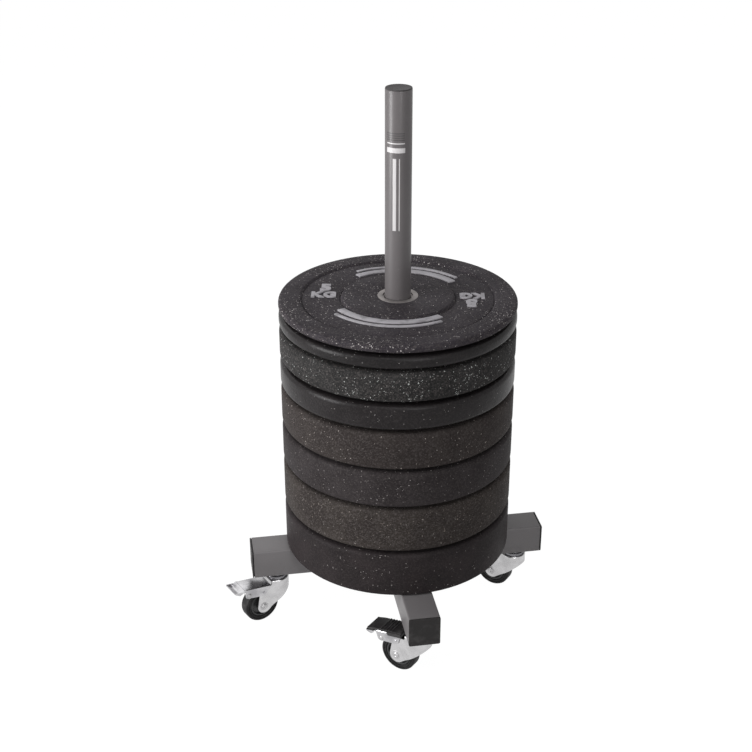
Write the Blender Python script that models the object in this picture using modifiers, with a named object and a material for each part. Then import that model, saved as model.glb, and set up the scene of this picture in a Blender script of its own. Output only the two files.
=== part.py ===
"""Weight plate cart: a cross of square tubes on four swivel casters, with an upright post that
holds a stack of eight rubber plates. Metres, +Z up, with the origin on the floor under the
middle of the cart's outline. The front arm points along -Y and the left arm along -X."""

import math

import bmesh
import bpy
from mathutils import Matrix

MM = 0.001
GAP = 0.3 * MM  # left between pieces that touch

# The cross base
TUBE = 60 * MM
TUBE_WALL = 2 * MM
TUBE_CORNER = 3 * MM
ARM_REACH = 300 * MM  # post axis to the end of an arm, with its cap
CAP_FACE = 3.5 * MM
CAP_PLUG_DEPTH = 16 * MM
CAP_PLUG_WALL = 2 * MM

# The post and the flange that bolts it down
POST_RADIUS = 24.5 * MM
POST_WALL = 3 * MM
POST_TOP = 1085.6 * MM
POST_CAP_FACE = 1.6 * MM
FLANGE_RADIUS = 75 * MM
FLANGE_THICKNESS = 6 * MM
FLANGE_BOLT_REACH = 52 * MM
BOLT_RADIUS = 4 * MM
BOLT_HEAD_RADIUS = 7.6 * MM
BOLT_LENGTH = 22 * MM

# The plates, from the bottom of the stack to the top
PLATE_RADIUS = 225 * MM
PLATE_PITCHES = tuple(t * MM for t in (89, 96, 80, 81, 56.5, 64.5, 32, 22))
PLATE_EDGE = 5.5 * MM
RIM_DROP = 2.2 * MM  # each face of the rim lies this far below the raised middle
RIM_INNER = 185 * MM
WEB_OUTER = 180 * MM
WEB_INNER = 109 * MM
DISC_RADIUS = 105 * MM
WEB_DEPTH = 3 * MM
HUB_RADIUS = 38.5 * MM
BORE_RADIUS = 25.4 * MM
BORE_CHAMFER = 3 * MM

# The casters, in a frame whose origin is on the floor below the swivel axis.
# Its +X axis is the way the wheel trails, and +Y is the caster's side.
SWIVEL_REACH = 250 * MM
TRAIL = 42 * MM
WHEEL_RADIUS = 37.5 * MM
TREAD_HALF = 11.5 * MM
HUB_RIM = 26 * MM
CASTER_HEIGHT = 105 * MM
CROWN_RADIUS = 24.5 * MM
CROWN_TOP = 90.5 * MM
CROWN_BACK = 22 * MM
CROWN_EDGE = 1.8 * MM
CROWN_BEND = 70  # degrees from the trailing side to where the wall leaves the crown's circle
SHEET = 2.2 * MM
LEG_OUTSIDE = 17.9 * MM
LEG_TIP_RADIUS = 15.5 * MM
LEG_BACK = 50 * MM
LEG_SHOULDER = 81 * MM  # top of the legs behind the crown
CROWN_FRONT_LOW = 76 * MM  # the front wall's lower edge, where the legs' slanted edge starts
AXLE_RADIUS = 4 * MM
STEM_RADIUS = 6 * MM
STEM_TOP = 121 * MM
KINGPIN_RADIUS = 7.5 * MM
NUT_HALF = 9.2 * MM  # across the flats, halved
NUT_HEIGHT = 9 * MM

# The brake pedal, in a frame on its pivot with +X outwards along the level pedal
PIVOT_X = 42 * MM
PIVOT_Z = 72 * MM
PEDAL_SHEET = 1.6 * MM
PEDAL_TOP = 15 * MM
PEDAL_OUTSIDE = 20 * MM
PEDAL_INSIDE = 18.2 * MM
PEDAL_BACK = -15 * MM
PEDAL_TIP = 68 * MM
PAD_START = 46 * MM
PAD_LOW = 7.3 * MM
PAD_LIP = 12 * MM
PAD_HALF = 20.5 * MM
SHOE_X = 33.3 * MM
SHOE_Z = -0.4 * MM
SHOE_RADIUS = 5.1 * MM
SHOE_HALF = 13 * MM
SHOE_PIN_RADIUS = 2.5 * MM
PIVOT_RADIUS = 2.3 * MM
PIVOT_EAR = 7 * MM
SHOE_EAR = 5.5 * MM
PEDAL_UP = 9.0  # degrees above level, brake off
PEDAL_DOWN = -10.0  # brake on
COVER_THICKNESS = 4.4 * MM
COVER_SKIRT = 2 * MM
RIB_COUNT = 5
RIB_START = 33 * MM
RIB_PITCH = 6.4 * MM
RIB_HEIGHT = 1.2 * MM

# side: direction of the arm, heading of the trailing wheel, pedal angle or None, cover
CASTERS = {
    "left": (180, 205.0, PEDAL_UP, False),
    "front": (270, 136.5, PEDAL_DOWN, True),
    "right": (0, 138.5, None, False),
    "back": (90, 160.0, None, False),
}

ARM_BOTTOM = CASTER_HEIGHT + GAP
ARM_TOP = ARM_BOTTOM + TUBE
FLANGE_TOP = ARM_TOP + FLANGE_THICKNESS
TUBE_HALF_LENGTH = ARM_REACH - CAP_FACE - GAP
CROWN_BOTTOM = CROWN_TOP - 2.8 * MM
AXLE_Z = WHEEL_RADIUS

COLLECTION = bpy.data.collections.new("weight_plate_cart")
SIDEWAYS = Matrix.Rotation(math.radians(90), 4, "X")  # an upright outline, deep along Y


def clear_scene():
    """Empty the file and link the cart's collection."""
    for thing in list(bpy.data.objects):
        bpy.data.objects.remove(thing, do_unlink=True)
    bpy.context.scene.collection.children.link(COLLECTION)


def surface(name, color, roughness, metallic):
    """A plain Principled material."""
    material = bpy.data.materials.new(name)
    material.use_nodes = True
    shader = material.node_tree.nodes["Principled BSDF"]
    shader.inputs["Base Color"].default_value = (*color, 1)
    shader.inputs["Roughness"].default_value = roughness
    shader.inputs["Metallic"].default_value = metallic
    return material


def empty(name, parent=None, at=(0, 0, 0), turn=(0, 0, 0)):
    """A joint's frame: it carries the pieces that move together."""
    frame = bpy.data.objects.new(name, None)
    frame.location = at
    frame.rotation_euler = [math.radians(angle) for angle in turn]
    frame.parent = parent
    frame.empty_display_size = 0.03
    COLLECTION.objects.link(frame)
    return frame


def evaluated_mesh(thing):
    """The mesh of an object with its modifiers, or of a curve."""
    bpy.context.view_layer.update()
    graph = bpy.context.evaluated_depsgraph_get()
    return bpy.data.meshes.new_from_object(thing.evaluated_get(graph), depsgraph=graph)


def apply_modifiers(thing):
    """Put the evaluated mesh in place of the object's own."""
    mesh = evaluated_mesh(thing)
    thing.modifiers.clear()
    thing.data = mesh


def arc(x, y, radius, start, end, steps):
    """Points of an arc, in degrees, with both ends."""
    angles = [math.radians(start + (end - start) * i / steps) for i in range(steps + 1)]
    return [(x + radius * math.cos(a), y + radius * math.sin(a)) for a in angles]


def rounded_square(half, corner, steps=2):
    """A square outline with round corners."""
    flat = half - corner
    corners = ((flat, flat, 0), (-flat, flat, 90), (-flat, -flat, 180), (flat, -flat, 270))
    return [p for x, y, start in corners for p in arc(x, y, corner, start, start + 90, steps)]


def box_outline(left, right, low, high):
    """A rectangle's corners."""
    return [(left, low), (right, low), (right, high), (left, high)]


def mirrored(points):
    """An outline's upper half followed by its reflection below the X axis."""
    return points + [(x, -y) for x, y in reversed(points)]


def prism(name, loops, depth, edge=0.0, turn=None):
    """A flat outline with its holes, extruded evenly about its plane."""
    curve = bpy.data.curves.new(name, "CURVE")
    curve.dimensions = "2D"
    curve.fill_mode = "BOTH"
    curve.extrude = depth / 2 - edge
    curve.bevel_depth = edge
    curve.bevel_resolution = 0
    curve.offset = -edge
    for loop in loops:
        spline = curve.splines.new("POLY")
        spline.points.add(len(loop) - 1)
        for point, (x, y) in zip(spline.points, loop):
            point.co = (x, y, 0, 1)
        spline.use_cyclic_u = True
    guide = bpy.data.objects.new(name, curve)
    COLLECTION.objects.link(guide)
    mesh = evaluated_mesh(guide)
    bpy.data.objects.remove(guide)
    bpy.data.curves.remove(curve)
    tidy = bmesh.new()
    tidy.from_mesh(mesh)
    bmesh.ops.remove_doubles(tidy, verts=tidy.verts, dist=0.002 * MM)
    bmesh.ops.recalc_face_normals(tidy, faces=tidy.faces)
    tidy.to_mesh(mesh)
    tidy.free()
    if turn is not None:
        mesh.transform(turn)
    return piece(name, mesh)


def turned(name, profile, segments, turn=None):
    """A profile of (radius, height) points, outer side first and from the top down, spun
    about Z. One that leaves the axis is a ring, so its last point joins the first."""
    mesh = bpy.data.meshes.new(name)
    count = len(profile)
    edges = [(i, i + 1) for i in range(count - 1)]
    if profile[0][0] > 0:
        edges.append((count - 1, 0))
    mesh.from_pydata([(radius, 0, height) for radius, height in profile], edges, [])
    thing = piece(name, mesh)
    screw = thing.modifiers.new("spin", "SCREW")
    screw.steps = screw.render_steps = segments
    screw.use_merge_vertices = True
    screw.merge_threshold = 0.002 * MM
    apply_modifiers(thing)
    if turn is not None:
        thing.data.transform(turn)
    return thing


def cylinder(name, radius, low, high, segments, at=(0, 0), turn=None):
    """A plain round bar along Z, or along what turn makes of it."""
    mesh = bpy.data.meshes.new(name)
    bar = bmesh.new()
    middle = Matrix.Translation((at[0], at[1], (low + high) / 2))
    bmesh.ops.create_cone(bar, cap_ends=True, segments=segments, radius1=radius,
                          radius2=radius, depth=high - low, matrix=middle)
    bar.to_mesh(mesh)
    bar.free()
    if turn is not None:
        mesh.transform(turn)
    return piece(name, mesh)


def piece(name, mesh):
    """A mesh object in the cart's collection."""
    thing = bpy.data.objects.new(name, mesh)
    COLLECTION.objects.link(thing)
    return thing


def combine(target, tools, operation="DIFFERENCE"):
    """Cut or join the tools, one after another, and remove them."""
    for tool in tools:
        step = target.modifiers.new(tool.name, "BOOLEAN")
        step.operation = operation
        step.solver = "EXACT"
        step.object = tool
        apply_modifiers(target)
        bpy.data.objects.remove(tool)
    return target


def finish(thing, name, parent, material, sharp=35):
    """Name a piece, give it its material and hang it on its frame."""
    thing.name = name
    thing.data.name = name
    thing.data.materials.clear()
    thing.data.materials.append(material)
    thing.data.shade_smooth()
    thing.data.set_sharp_from_angle(angle=math.radians(sharp))
    thing.parent = parent
    return thing


def copy_of(pattern, name, parent):
    """Another object on the pattern's mesh."""
    thing = piece(name, pattern.data)
    thing.parent = parent
    return thing


def square_tube(name, length, top_holes, bottom_holes):
    """A length of square tube along X, centred, with bolt and stem holes in its walls."""
    half = TUBE / 2
    bore = rounded_square(half - TUBE_WALL, TUBE_CORNER - TUBE_WALL, 1)
    along_x = Matrix.Rotation(math.radians(90), 4, "Y")
    tube = prism(name, [rounded_square(half, TUBE_CORNER), bore], length, turn=along_x)
    wall = half - TUBE_WALL
    holes = [cylinder("hole", BOLT_RADIUS + 0.4 * MM, wall - MM, half + MM, 8, (x, 0))
             for x in top_holes]
    holes += [cylinder("hole", STEM_RADIUS + 0.8 * MM, -half - MM, -wall + MM, 10, (x, 0))
              for x in bottom_holes]
    return combine(tube, holes)


def make_base(cart, paint, plastic):
    """The cross: one long tube, two short arms welded to its sides, and four end caps."""
    middle = ARM_BOTTOM + TUBE / 2
    beam = square_tube("beam", 2 * TUBE_HALF_LENGTH, (-FLANGE_BOLT_REACH, FLANGE_BOLT_REACH),
                       (-SWIVEL_REACH, SWIVEL_REACH))
    beam.location.z = middle
    finish(beam, "cross_beam", cart, paint)

    inner_end = TUBE / 2 + GAP
    length = TUBE_HALF_LENGTH - inner_end
    centre = (TUBE_HALF_LENGTH + inner_end) / 2
    arm = square_tube("arm", length, (FLANGE_BOLT_REACH - centre,), (SWIVEL_REACH - centre,))
    finish(arm, "front_arm", cart, paint)
    arms = {270: arm, 90: copy_of(arm, "back_arm", cart)}
    for direction, tube in arms.items():
        angle = math.radians(direction)
        tube.rotation_euler.z = angle
        tube.location = (centre * math.cos(angle), centre * math.sin(angle), middle)

    cap = end_cap()
    for side, (direction, *_) in CASTERS.items():
        angle = math.radians(direction)
        name = side + "_end_cap"
        if side == "left":
            copy = finish(cap, name, cart, plastic)
        else:
            copy = copy_of(cap, name, cart)
        copy.rotation_euler.z = angle
        copy.location = (ARM_REACH * math.cos(angle), ARM_REACH * math.sin(angle), middle)


def end_cap():
    """A moulded cap: a square face with a softened edge and a hollow plug behind it.
    Its outer face is at X = 0 and the plug reaches back along -X."""
    along_x = Matrix.Rotation(math.radians(90), 4, "Y")
    face = prism("cap", [rounded_square(TUBE / 2, TUBE_CORNER)], CAP_FACE, 0.8 * MM, along_x)
    face.data.transform(Matrix.Translation((-CAP_FACE / 2, 0, 0)))
    half = TUBE / 2 - TUBE_WALL - GAP
    rings = [rounded_square(half, MM, 1), rounded_square(half - CAP_PLUG_WALL, MM, 1)]
    plug = prism("plug", rings, CAP_PLUG_DEPTH, turn=along_x)
    plug.data.transform(Matrix.Translation((-CAP_FACE - CAP_PLUG_DEPTH / 2 + MM, 0, 0)))
    return combine(face, [plug], "UNION")


def make_post(cart, paint, plastic, steel):
    """The post, its flange with four countersunk bolts, and the cap on its top."""
    thickness = FLANGE_THICKNESS - GAP
    low = ARM_TOP + GAP
    edge = MM
    flange = turned("flange", [(0, low + thickness), (FLANGE_RADIUS - edge, low + thickness),
                               (FLANGE_RADIUS, low + thickness - edge), (FLANGE_RADIUS, low),
                               (0, low)], 26)
    bolts = {side: math.radians(values[0]) for side, values in CASTERS.items()}
    spread = 0.4 * MM
    head = BOLT_HEAD_RADIUS - BOLT_RADIUS
    seats = []
    for angle in bolts.values():
        seat = turned("seat", [(0, FLANGE_TOP + MM), (BOLT_HEAD_RADIUS + spread, FLANGE_TOP + MM),
                               (BOLT_HEAD_RADIUS + spread, FLANGE_TOP - spread),
                               (BOLT_RADIUS + spread, FLANGE_TOP - spread - head),
                               (BOLT_RADIUS + spread, low - MM), (0, low - MM)], 8)
        seat.location = (FLANGE_BOLT_REACH * math.cos(angle),
                         FLANGE_BOLT_REACH * math.sin(angle), 0)
        seats.append(seat)
    finish(combine(flange, seats), "post_flange", cart, paint)

    bolt = countersunk_bolt(FLANGE_TOP - spread)
    for side, angle in bolts.items():
        name = "flange_bolt_" + side
        if side == "left":
            copy = finish(bolt, name, cart, steel)
        else:
            copy = copy_of(bolt, name, cart)
        copy.location = (FLANGE_BOLT_REACH * math.cos(angle),
                         FLANGE_BOLT_REACH * math.sin(angle), 0)

    tube_top = POST_TOP - POST_CAP_FACE - GAP
    tube_bottom = FLANGE_TOP + GAP
    bore = POST_RADIUS - POST_WALL
    post = turned("post", [(POST_RADIUS, tube_top), (POST_RADIUS, tube_bottom),
                           (bore, tube_bottom), (bore, tube_top)], 28)
    finish(post, "post_tube", cart, paint)
    rim = POST_RADIUS - 0.4 * MM
    plug = bore - GAP * 2
    face = POST_TOP - POST_CAP_FACE
    cap = turned("cap", [(0, POST_TOP), (rim - 1.2 * MM, POST_TOP), (rim, POST_TOP - 0.8 * MM),
                         (rim, face), (plug, face), (plug - MM, face - 18 * MM),
                         (0, face - 18 * MM)], 20)
    finish(cap, "post_cap", cart, plastic)


def countersunk_bolt(top):
    """A flat headed bolt with a hexagon socket, its head level with top."""
    head = BOLT_HEAD_RADIUS - BOLT_RADIUS
    bolt = turned("bolt", [(0, top), (BOLT_HEAD_RADIUS, top), (BOLT_RADIUS, top - head),
                           (BOLT_RADIUS, top - BOLT_LENGTH), (0, top - BOLT_LENGTH)], 8)
    socket = cylinder("socket", 2.9 * MM, top - 2.4 * MM, top + MM, 6)
    return combine(bolt, [socket])


def plate_profile(thickness):
    """A plate's section: rim, recessed web and raised middle on both faces, the underside's
    step drawn as one slope. It runs down the outside and up along the steel ring."""
    half = thickness / 2
    rim = half - RIM_DROP
    face = [(PLATE_RADIUS, rim - PLATE_EDGE), (PLATE_RADIUS - PLATE_EDGE, rim),
            (RIM_INNER, rim), (WEB_OUTER, rim - WEB_DEPTH), (WEB_INNER, rim - WEB_DEPTH)]
    upper = face + [(DISC_RADIUS, half), (HUB_RADIUS + 0.6 * MM, half)]
    lower = [(radius, -height) for radius, height in face]
    return lower + [(HUB_RADIUS + 0.6 * MM, -half)] + list(reversed(upper))


def hub_profile(thickness):
    """One side of a plate's steel ring, from its outside to the chamfered bore."""
    half = thickness / 2
    return [(HUB_RADIUS, half), (BORE_RADIUS + BORE_CHAMFER, half),
            (BORE_RADIUS, half - BORE_CHAMFER)]


def two_sided(side):
    """A ring profile from one side: the outer edge down, and back up along the bore."""
    low = [(radius, -height) for radius, height in side]
    return low + list(reversed(side))


def make_plates(cart, rubber, steel):
    """The stack. Each plate's frame hangs on the plate below it, as lifting one lifts all
    that lie on it."""
    carrier = cart
    height = FLANGE_TOP + GAP
    below = 0.0
    for number, pitch in enumerate(PLATE_PITCHES, 1):
        thickness = pitch - GAP
        rise = height + thickness / 2
        frame = empty(f"plate_{number}", carrier, (0, 0, rise - below))
        body = turned("plate", plate_profile(thickness), 23)
        finish(body, f"plate_{number}_body", frame, rubber)
        hub = turned("hub", two_sided(hub_profile(thickness)), 14)
        finish(hub, f"plate_{number}_hub", frame, steel)
        carrier = frame
        below = rise
        height += pitch


def fork(braked):
    """The pressed fork: a round crown whose wall runs back into two flat legs. The plan
    gives the wall, and the side view trims it to the legs' outline."""
    def plan(radius, side, end):
        bend = arc(0, 0, radius, 180, CROWN_BEND, 5)
        bend_x, bend_y = bend[-1]
        crease = bend_x + (bend_y - side) * math.tan(math.radians(CROWN_BEND))
        return mirrored(bend + [(crease, side), (end, side)])[1:]

    past_legs = 2 * LEG_BACK
    body = prism("fork", [plan(CROWN_RADIUS, LEG_OUTSIDE, past_legs)], CROWN_TOP, CROWN_EDGE)
    body.data.transform(Matrix.Translation((0, 0, CROWN_TOP / 2)))
    inside = prism("inside", [plan(CROWN_RADIUS - SHEET, LEG_OUTSIDE - SHEET, 2 * past_legs)],
                   2 * CROWN_BOTTOM)
    combine(body, [inside])

    over = CROWN_TOP + MM
    before = -CROWN_RADIUS - 5 * MM
    corner = 8 * MM
    tip = arc(TRAIL - 1.5 * MM, AXLE_Z, LEG_TIP_RADIUS, -130, 4, 5)
    back = arc(LEG_BACK - corner, LEG_SHOULDER - corner, corner, 0, 90, 2)
    front = [(CROWN_BACK, LEG_SHOULDER), (CROWN_BACK, over), (before, over),
             (before, CROWN_FRONT_LOW)]
    wide = 2 * LEG_OUTSIDE
    side_view = prism("side", [tip + back + front], 2 * wide, turn=SIDEWAYS)
    combine(body, [side_view], "INTERSECT")

    holes = [cylinder("axle", AXLE_RADIUS + 0.3 * MM, -wide, wide, 10, turn=SIDEWAYS)]
    holes[0].location = (TRAIL, 0, AXLE_Z)
    holes.append(cylinder("kingpin", KINGPIN_RADIUS + 0.7 * MM, CROWN_BOTTOM - MM, over, 10))
    if braked:
        pivot = cylinder("pivot", PIVOT_RADIUS + GAP, -wide, wide, 8, turn=SIDEWAYS)
        pivot.location = (PIVOT_X, 0, PIVOT_Z)
        holes.append(pivot)
    return combine(body, holes)


def stem():
    """The part that the fork turns on: threaded stem, raceway cup, kingpin and its head."""
    top = CASTER_HEIGHT
    return turned("stem", [
        (0, STEM_TOP), (STEM_RADIUS, STEM_TOP), (STEM_RADIUS, top),
        (CROWN_RADIUS - 3 * MM, top), (CROWN_RADIUS, top - 3 * MM),
        (CROWN_RADIUS, top - 9 * MM), (CROWN_RADIUS - 4 * MM, CROWN_TOP + GAP),
        (KINGPIN_RADIUS, CROWN_TOP + GAP), (KINGPIN_RADIUS, CROWN_BOTTOM - GAP),
        (KINGPIN_RADIUS + 4 * MM, CROWN_BOTTOM - GAP),
        (KINGPIN_RADIUS + 2 * MM, CROWN_BOTTOM - 5 * MM), (0, CROWN_BOTTOM - 5 * MM)], 13)


def stem_nut():
    """The hexagon nut inside the arm."""
    low = ARM_BOTTOM + TUBE_WALL + GAP
    corner = NUT_HALF / math.cos(math.radians(30))
    nut = cylinder("nut", corner, low, low + NUT_HEIGHT, 6)
    return combine(nut, [cylinder("bore", STEM_RADIUS + 0.4 * MM, low - MM,
                                  low + NUT_HEIGHT + MM, 10)])


def tyre():
    """The wheel's tyre, with a nearly flat tread and sloped shoulders."""
    half = TREAD_HALF
    side = [(WHEEL_RADIUS, half - 2.5 * MM), (WHEEL_RADIUS - 3 * MM, half),
            (HUB_RIM + 0.7 * MM, half - 1.5 * MM)]
    return turned("tyre", two_sided(side), 20, SIDEWAYS)


def wheel_hub():
    """The wheel's core: rim, dished web and a boss on the axle."""
    boss = LEG_OUTSIDE - SHEET - 2 * GAP
    side = [(HUB_RIM, TREAD_HALF - 1.5 * MM), (HUB_RIM - 4 * MM, TREAD_HALF - 1.5 * MM),
            (12 * MM, 5 * MM), (10.5 * MM, boss), (AXLE_RADIUS + 0.4 * MM, boss)]
    return turned("hub", two_sided(side), 13, SIDEWAYS)


def headed_pin(radius, head, grip, height, collar=0.0):
    """A pin along Y with a domed head past the grip on each side, and a middle collar."""
    side = [(0, grip + height), (head * 0.65, grip + height), (head, grip), (radius, grip)]
    if collar:
        side += [(radius, SHOE_HALF), (collar, SHOE_HALF - MM)]
    return turned("pin", two_sided(side)[::-1], 10, SIDEWAYS)


def pedal():
    """The pressed pedal: a channel over the fork, with ears round the pivot and the brake
    shoe's pin, and a foot pad that dips and turns up at its lip."""
    ears = arc(0, 0, PIVOT_EAR, 180, 270, 2)
    ears += arc(SHOE_X + 3 * MM, SHOE_Z, SHOE_EAR, -90, -10, 3)
    outline = ears + [(PAD_START, PEDAL_TOP - 3 * MM), (PAD_START, PEDAL_TOP),
                      (PEDAL_BACK, PEDAL_TOP), (PEDAL_BACK, PEDAL_TOP - 6 * MM)]
    body = prism("pedal", [outline], 2 * PEDAL_OUTSIDE, turn=SIDEWAYS)
    core = box_outline(PEDAL_BACK - MM, PEDAL_TIP, -2 * PIVOT_EAR, PEDAL_TOP - PEDAL_SHEET)
    combine(body, [prism("core", [core], 2 * PEDAL_INSIDE, turn=SIDEWAYS)])

    bend = [(PAD_START - 3 * MM, PEDAL_TOP - 0.4 * MM), (PAD_START + MM, PEDAL_TOP - 0.8 * MM),
            (PAD_START + 8 * MM, PAD_LOW), (PEDAL_TIP - 8 * MM, PAD_LOW), (PEDAL_TIP, PAD_LIP)]
    pad = prism("pad", [bend + [(x, z - PEDAL_SHEET) for x, z in reversed(bend)]],
                2 * PAD_HALF, turn=SIDEWAYS)
    combine(body, [pad], "UNION")

    inner = LEG_OUTSIDE - SHEET + GAP
    outer = PEDAL_OUTSIDE + 1.6 * MM
    pins = [cylinder("pivot", PIVOT_RADIUS, low, high, 8, turn=SIDEWAYS)
            for low, high in ((inner, outer), (-outer, -inner))]
    combine(body, pins, "UNION")
    hole = cylinder("hole", SHOE_PIN_RADIUS + GAP, -2 * PAD_HALF, 2 * PAD_HALF, 8,
                    turn=SIDEWAYS)
    hole.location = (SHOE_X, 0, SHOE_Z)
    return combine(body, [hole])


def pedal_cover():
    """The moulded grip that clips over the pedal: ribs across its top, a skirt down the sides
    of the channel's inner half, a thin wall over its back end, and a tongue over the pad."""
    low = PEDAL_TOP - 4.5 * MM
    top = PEDAL_TOP + COVER_THICKNESS
    inside_back = PEDAL_BACK - GAP
    back = inside_back - MM
    skirt_end = PAD_START - 31 * MM
    mouth = PAD_START + 3 * MM
    tip = PEDAL_TIP - 2.5 * MM
    over_lip = PAD_LIP + 0.6 * MM
    ribs = []
    for i in range(RIB_COUNT):
        x = RIB_START - i * RIB_PITCH
        ribs += [(x, top), (x - 0.7 * MM, top + RIB_HEIGHT), (x - 2.0 * MM, top + RIB_HEIGHT),
                 (x - 2.7 * MM, top)]
    tongue = [(back, low), (mouth, low), (mouth + 0.5 * MM, over_lip), (tip - 7 * MM, over_lip),
              (tip, over_lip + 2 * MM), (tip, over_lip + 4 * MM),
              (tip - 2 * MM, over_lip + 5.2 * MM), (tip - 5 * MM, over_lip + 4.8 * MM),
              (PAD_START, top)]
    cover = prism("cover", [tongue + ribs + [(back + 3 * MM, top), (back, top - 2 * MM)]],
                  2 * (PAD_HALF - MM), turn=SIDEWAYS)
    inside = PEDAL_OUTSIDE + GAP
    side = [(back, low), (skirt_end, low), (skirt_end + 2.5 * MM, top - 1.5 * MM),
            (back + 2 * MM, top - 1.5 * MM), (back, top - 3 * MM)]
    skirt = prism("skirt", [side], 2 * (inside + COVER_SKIRT), turn=SIDEWAYS)
    combine(cover, [skirt], "UNION")
    wall_low = PEDAL_TOP - 2.5 * MM  # clears the fork's legs when the pedal is up
    cores = (box_outline(inside_back, mouth + 0.5 * MM, low - MM, PEDAL_TOP + GAP),
             box_outline(back - MM, inside_back + MM, low - MM, wall_low))
    return combine(cover, [prism("core", [core], 2 * inside, turn=SIDEWAYS) for core in cores])


def make_casters(cart, zinc, tread, nylon, plastic):
    """Four swivel casters, two of them with a brake pedal."""
    axle_pin = headed_pin(AXLE_RADIUS, 6 * MM, LEG_OUTSIDE + GAP, 2.2 * MM)
    shoe = headed_pin(SHOE_PIN_RADIUS, 4 * MM, PEDAL_OUTSIDE + GAP, 1.5 * MM, SHOE_RADIUS)
    patterns = {"caster_stem": (stem(), zinc), "stem_nut": (stem_nut(), zinc),
                "fork": (fork(False), zinc), "braked_fork": (fork(True), zinc),
                "axle": (axle_pin, zinc), "tyre": (tyre(), tread),
                "wheel_hub": (wheel_hub(), nylon), "brake_pedal": (pedal(), zinc),
                "brake_shoe": (shoe, zinc), "pedal_cover": (pedal_cover(), plastic)}
    for pattern, material in patterns.values():
        finish(pattern, pattern.name, None, material)

    for side, (direction, heading, pedal_angle, covered) in CASTERS.items():
        def add(kind, frame):
            return copy_of(patterns[kind][0], f"{side}_{kind}", frame)

        angle = math.radians(direction)
        at = (SWIVEL_REACH * math.cos(angle), SWIVEL_REACH * math.sin(angle), 0)
        fixed = empty(side + "_caster_seat", cart, at)
        add("caster_stem", fixed)
        add("stem_nut", fixed)
        swivel = empty(side + "_swivel", cart, at, (0, 0, heading))
        braked = pedal_angle is not None
        add("braked_fork" if braked else "fork", swivel).name = side + "_fork"
        axle = empty(side + "_wheel", swivel, (TRAIL, 0, AXLE_Z))
        add("axle", axle)
        add("wheel_hub", axle)
        add("tyre", axle)
        if braked:
            pivot = empty(side + "_pedal", swivel, (PIVOT_X, 0, PIVOT_Z), (0, -pedal_angle, 0))
            add("brake_pedal", pivot)
            add("brake_shoe", pivot).location = (SHOE_X, 0, SHOE_Z)
            if covered:
                add("pedal_cover", pivot)
    for pattern, _ in patterns.values():
        bpy.data.objects.remove(pattern)


def outline_middle():
    """How far the outline's middle lies from the post, as the left pedal sticks out."""
    direction, heading, pedal_angle, _ = CASTERS["left"]
    lift = math.radians(pedal_angle)
    reach = PIVOT_X + PEDAL_TIP * math.cos(lift)
    angle = math.radians(heading)
    left = -SWIVEL_REACH + reach * math.cos(angle) - PAD_HALF * abs(math.sin(angle))
    return (left + ARM_REACH) / 2


def main():
    clear_scene()
    paint = surface("grey_paint", (0.16, 0.155, 0.155), 0.42, 0.3)
    plastic = surface("black_plastic", (0.03, 0.03, 0.03), 0.5, 0.0)
    zinc = surface("zinc_plate", (0.72, 0.72, 0.72), 0.28, 1.0)
    rubber = surface("crumb_rubber", (0.035, 0.033, 0.034), 0.75, 0.0)
    tread = surface("tread_rubber", (0.02, 0.02, 0.02), 0.6, 0.0)
    nylon = surface("wheel_nylon", (0.05, 0.05, 0.052), 0.45, 0.0)
    cart = empty("cart", None, (-outline_middle(), 0, 0))
    make_base(cart, paint, plastic)
    make_post(cart, paint, plastic, zinc)
    make_plates(cart, rubber, zinc)
    make_casters(cart, zinc, tread, nylon, plastic)
    bpy.context.view_layer.update()


main()
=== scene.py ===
import math

import bmesh
import bpy
from mathutils import Matrix, Vector


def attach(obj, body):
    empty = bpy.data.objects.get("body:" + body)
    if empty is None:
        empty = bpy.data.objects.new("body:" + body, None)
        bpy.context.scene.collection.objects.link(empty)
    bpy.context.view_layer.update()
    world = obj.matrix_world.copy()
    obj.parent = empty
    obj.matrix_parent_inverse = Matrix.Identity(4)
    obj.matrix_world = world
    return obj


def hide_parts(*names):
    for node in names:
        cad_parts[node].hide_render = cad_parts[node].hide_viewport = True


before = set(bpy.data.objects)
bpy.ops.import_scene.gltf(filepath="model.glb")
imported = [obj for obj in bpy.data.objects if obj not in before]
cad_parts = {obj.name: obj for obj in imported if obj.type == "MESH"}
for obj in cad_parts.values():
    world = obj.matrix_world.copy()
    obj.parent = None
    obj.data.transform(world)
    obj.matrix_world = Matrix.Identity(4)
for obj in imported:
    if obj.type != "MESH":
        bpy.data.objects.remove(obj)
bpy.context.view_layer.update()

MM = 0.001
GAP = 0.3 * MM
NEAR = 0.4 * MM  # how far an edge may lie from the radius that it is picked by
X, Y, Z = range(3)

# Where the cart's pieces are, as in the solids
POST = Vector((0.0287994, 0, 0))
POST_RADIUS = 24.5 * MM
POST_TOP = 1085.6 * MM
ARM_REACH = 300 * MM
TUBE = 60 * MM
ARM_BOTTOM = 105.3 * MM
HALF_TUBE = TUBE / 2
TUBE_CORNER = 3 * MM
ARM_MIDDLE = ARM_BOTTOM + HALF_TUBE
ARM_TOP = ARM_BOTTOM + TUBE
FLANGE_TOP = ARM_TOP + 6 * MM
BOLT_REACH = 52 * MM
PLATE_PITCHES = [pitch * MM for pitch in (89, 96, 80, 81, 56.5, 64.5, 32, 22)]
PLATE_RADIUS = 225 * MM
RIM_DROP = 2.2 * MM  # each face of the rim lies below the raised middle
RIM_WIDTH = 40 * MM
RIM_SLOPE = 4 * MM
WEB_BELOW_RIM = 3 * MM
WEB_WIDTH = 69.5 * MM
GROOVE_WIDTH = 1.5 * MM
GROOVE_DEPTH = 2 * MM
MIDDLE_SLOPE = 3.5 * MM
MIDDLE_RADIUS = 105 * MM
HUB_RADIUS = 38.5 * MM
HUB_CLEARANCE = 0.6 * MM
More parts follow.
